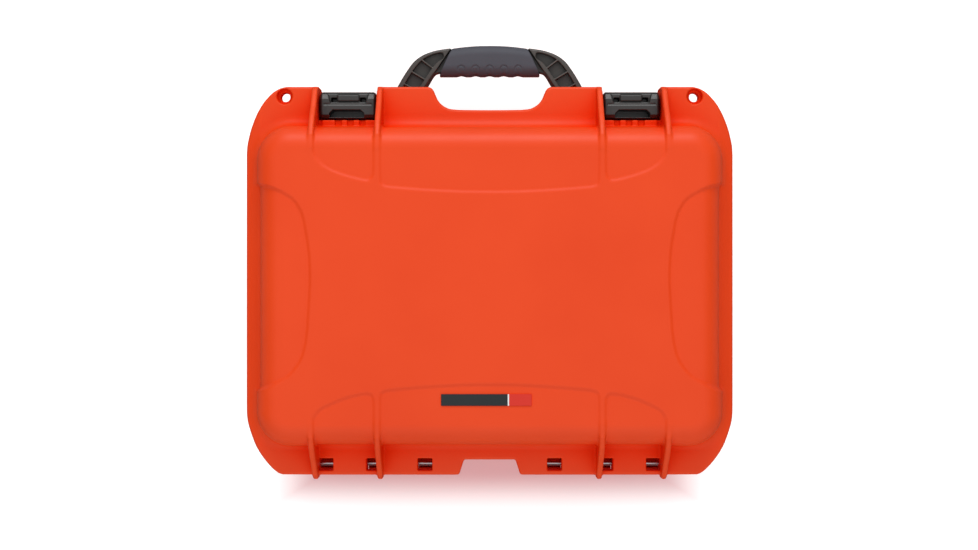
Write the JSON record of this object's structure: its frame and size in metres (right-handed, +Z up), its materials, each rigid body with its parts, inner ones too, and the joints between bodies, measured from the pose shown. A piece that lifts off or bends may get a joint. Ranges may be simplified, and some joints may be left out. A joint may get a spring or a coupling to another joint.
{
  "type": "hard equipment case",
  "caption": "Moulded hard equipment case with a hinged lid, claw latches with slide locks, padlock eyes and a folding soft-grip handle.",
  "frame": {"origin": "centre of the base's underside, on the face the case rests on", "axes": "+Z up through the lid, -Y towards the handle and the latches, +X to the right of a person facing the handle"},
  "size_m": [0.424, 0.381, 0.173],
  "materials": {
    "shell": "orange moulded resin, fine satin texture",
    "seal": "soft black elastomer",
    "pin_steel": "bright drawn steel rod",
    "handle_plastic": "near-black moulded resin",
    "grip_rubber": "slate grey soft-touch overmould",
    "latch_plastic": "charcoal moulded resin",
    "valve_plastic": "black moulded resin",
    "membrane": "white vent membrane",
    "badge_dark": "dark satin plate",
    "badge_red": "red satin plate"
  },
  "bodies": {
    "base": {"base_shell": "shell", "hinge_pin_left": "pin_steel", "hinge_pin_right": "pin_steel", "handle_pin_left": "pin_steel", "handle_pin_right": "pin_steel", "claw_pin_left": "pin_steel", "claw_pin_right": "pin_steel", "valve_body": "valve_plastic", "valve_cap": "valve_plastic", "valve_membrane": "membrane", "valve_seal": "seal", "valve_nut": "valve_plastic"},
    "lid": {"lid_shell": "shell", "lid_gasket": "seal", "badge_plate": "badge_dark", "badge_accent": "badge_red"},
    "handle": {"handle_frame": "handle_plastic", "handle_grip": "grip_rubber"},
    "claw_left": {"latch_claw_left": "latch_plastic", "lever_pin_left": "pin_steel"},
    "claw_right": {"latch_claw_right": "latch_plastic", "lever_pin_right": "pin_steel"},
    "lever_left": {"latch_lever_left": "latch_plastic"},
    "lever_right": {"latch_lever_right": "latch_plastic"},
    "slide_left": {"lock_slide_left": "latch_plastic"},
    "slide_right": {"lock_slide_right": "latch_plastic"}
  },
  "joints": [
    {"name": "lid_hinge", "type": "hinge", "parent": "base", "child": "lid", "pos_m": [0, 0.1585, 0.1186], "axis": [-1, 0, 0], "range_deg": [0, 105]},
    {"name": "handle_fold", "type": "hinge", "parent": "base", "child": "handle", "pos_m": [0, -0.152, 0.102], "axis": [1, 0, 0], "range_deg": [0, 90]},
    {"name": "claw_left_tilt", "type": "hinge", "parent": "base", "child": "claw_left", "pos_m": [-0.123, -0.15, 0.082], "axis": [1, 0, 0], "range_deg": [0, 60]},
    {"name": "claw_right_tilt", "type": "hinge", "parent": "base", "child": "claw_right", "pos_m": [0.123, -0.15, 0.082], "axis": [1, 0, 0], "range_deg": [0, 60]},
    {"name": "lever_left_lift", "type": "hinge", "parent": "claw_left", "child": "lever_left", "pos_m": [-0.123, -0.1605, 0.116], "axis": [-1, 0, 0], "range_deg": [0, 95]},
    {"name": "lever_right_lift", "type": "hinge", "parent": "claw_right", "child": "lever_right", "pos_m": [0.123, -0.1605, 0.116], "axis": [-1, 0, 0], "range_deg": [0, 95]},
    {"name": "slide_left_unlock", "type": "slide", "parent": "lever_left", "child": "slide_left", "axis": [-1, 0, 0], "range_m": [0, 0.011]},
    {"name": "slide_right_unlock", "type": "slide", "parent": "lever_right", "child": "slide_right", "axis": [1, 0, 0], "range_m": [0, 0.011]}
  ]
}
